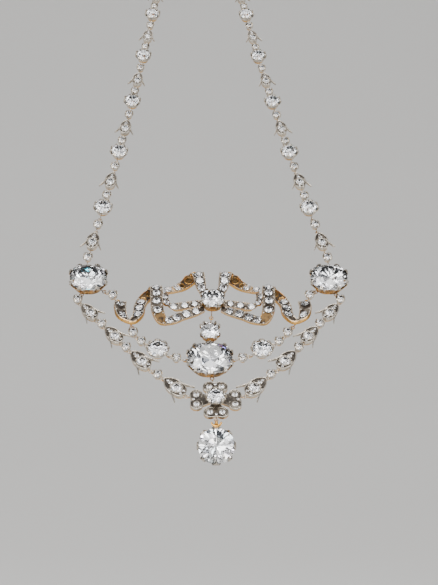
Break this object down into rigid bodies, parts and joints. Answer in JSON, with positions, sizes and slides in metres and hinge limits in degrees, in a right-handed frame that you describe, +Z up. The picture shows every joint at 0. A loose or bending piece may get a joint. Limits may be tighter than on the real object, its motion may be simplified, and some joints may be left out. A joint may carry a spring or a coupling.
{
  "type": "diamond necklace",
  "caption": "Necklace of linked diamond collets and leaf husks, with a ribbon bow, swagged garlands, a quatrefoil and a swinging drop, closed by a clasp at the nape.",
  "frame": {"origin": "inside edge of the clasp at the nape, where the necklace hangs", "axes": "+Z up, -Y the front, towards the viewer; the worn necklace leans forward as it lies on the chest"},
  "size_m": [0.0932, 0.1525, 0.1811],
  "materials": {
    "silver": "polished silver fronts over gold, softly worn",
    "gold": "polished yellow gold",
    "diamond": "old-cut diamond, clear and colourless"
  },
  "bodies": {
    "necklace": {"clasp": "gold", "bow_frame": "silver", "bow_stone": "diamond", "bow_ribbon_stones": "diamond", "square_setting": "gold", "square_stone": "diamond", "centre_setting": "gold", "centre_stone": "diamond", "quatrefoil": "silver", "quatrefoil_stone": "diamond", "neck_chain_left": "silver", "neck_chain_stones_left": "diamond", "corner_setting_left": "gold", "corner_stone_left": "diamond", "bow_collet_left": "silver", "bow_collet_stone_left": "diamond", "inner_collets_left": "silver", "inner_stones_left": "diamond", "side_setting_left": "silver", "side_stone_left": "diamond", "garland_collets_left": "silver", "garland_stones_left": "diamond", "neck_chain_right": "silver", "neck_chain_stones_right": "diamond", "corner_setting_right": "gold", "corner_stone_right": "diamond", "bow_collet_right": "silver", "bow_collet_stone_right": "diamond", "inner_collets_right": "silver", "inner_stones_right": "diamond", "side_setting_right": "silver", "side_stone_right": "diamond", "garland_collets_right": "silver", "garland_stones_right": "diamond", "garland_husk_left_1": "silver", "garland_husk_left_2": "silver", "garland_husk_left_3": "silver", "garland_husk_left_4": "silver", "garland_husk_right_1": "silver", "garland_husk_right_2": "silver", "garland_husk_right_3": "silver", "garland_husk_right_4": "silver"},
    "drop_link": {"drop_link": "gold"},
    "drop": {"drop_setting": "gold", "drop_stone": "diamond"}
  },
  "joints": [
    {"name": "link_swing", "type": "hinge", "parent": "necklace", "child": "drop_link", "pos_m": [0.0009, -0.14591, -0.16305], "axis": [1, 0, 0], "range_deg": [-60, 60]},
    {"name": "drop_sway", "type": "hinge", "parent": "drop_link", "child": "drop", "pos_m": [0.0009, -0.14591, -0.16385], "axis": [0, 1, 0], "range_deg": [-30, 30]}
  ]
}
